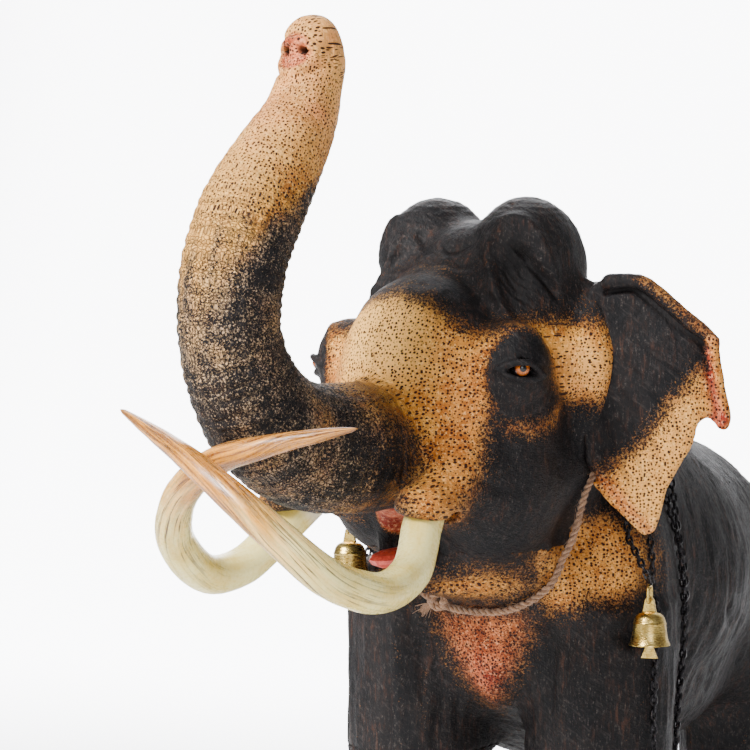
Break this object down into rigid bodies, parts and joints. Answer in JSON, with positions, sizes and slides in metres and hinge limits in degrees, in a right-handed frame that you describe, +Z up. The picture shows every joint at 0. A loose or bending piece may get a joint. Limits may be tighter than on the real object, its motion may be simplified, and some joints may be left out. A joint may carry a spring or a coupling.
{
  "type": "carved wooden elephant figurine",
  "caption": "Carved and painted wooden elephant with raised trunk, crossing tusks, rope collar, chains and swinging brass bells.",
  "frame": {"origin": "centre of the figure's box, on the surface that the soles stand on", "axes": "+Z up, -Y the way the body faces, +X the elephant's left"},
  "size_m": [0.1875, 0.4433, 0.4491],
  "materials": {
    "painted_wood": "carved grain, black paint with stippled tan and pink patches, satin",
    "ivory_paint": "polished wood painted as ivory, brown streaks, satin gloss",
    "glass_eye": "polished amber bead with a dark pupil",
    "nail_paint": "smooth, satin",
    "bristle": "matte bristle",
    "bare_wood": "unpainted",
    "mouth_paint": "satin red paint",
    "jute": "twisted two-ply fibre, fuzzy",
    "black_steel": "blackened, glossy",
    "brass": "spun, lightly tarnished"
  },
  "bodies": {
    "root": {"torso": "painted_wood", "head": "painted_wood", "lower_jaw": "painted_wood", "tongue": "mouth_paint", "trunk": "painted_wood", "left_ear": "painted_wood", "right_ear": "painted_wood", "left_tusk": "ivory_paint", "right_tusk": "ivory_paint", "left_eye": "glass_eye", "right_eye": "glass_eye", "front_left_leg": "painted_wood", "front_right_leg": "painted_wood", "rear_left_leg": "painted_wood", "rear_right_leg": "painted_wood", "front_left_toenails": "nail_paint", "front_right_toenails": "nail_paint", "rear_left_toenails": "nail_paint", "rear_right_toenails": "nail_paint", "tail": "painted_wood", "tail_hair": "bristle", "neck_dowel": "bare_wood", "trunk_dowel": "bare_wood", "jaw_dowel": "bare_wood", "leg_dowels": "bare_wood", "ear_pegs": "bare_wood", "tail_peg": "bare_wood", "neck_rope": "jute", "rope_knot": "jute", "bell_chain": "black_steel", "loop_chain": "black_steel", "hook_chain": "black_steel", "chain_hooks": "black_steel", "left_shackle": "brass", "right_shackle": "brass"},
    "left_bell_body": {"left_bell": "brass"},
    "left_clapper_body": {"left_clapper": "brass"},
    "right_bell_body": {"right_bell": "brass"},
    "right_clapper_body": {"right_clapper": "brass"}
  },
  "joints": [
    {"name": "left_bell_swing", "type": "hinge", "parent": "root", "child": "left_bell_body", "pos_m": [0.063, -0.055, 0.238], "axis": [0, 1, 0], "range_deg": [-18, 18]},
    {"name": "left_clapper_swing", "type": "hinge", "parent": "left_bell_body", "child": "left_clapper_body", "pos_m": [0.063, -0.055, 0.2308], "axis": [0, 1, 0], "range_deg": [-22, 22]},
    {"name": "right_bell_swing", "type": "hinge", "parent": "root", "child": "right_bell_body", "pos_m": [-0.056, -0.061, 0.261], "axis": [0, 1, 0], "range_deg": [-18, 18]},
    {"name": "right_clapper_swing", "type": "hinge", "parent": "right_bell_body", "child": "right_clapper_body", "pos_m": [-0.056, -0.061, 0.2538], "axis": [0, 1, 0], "range_deg": [-22, 22]}
  ]
}
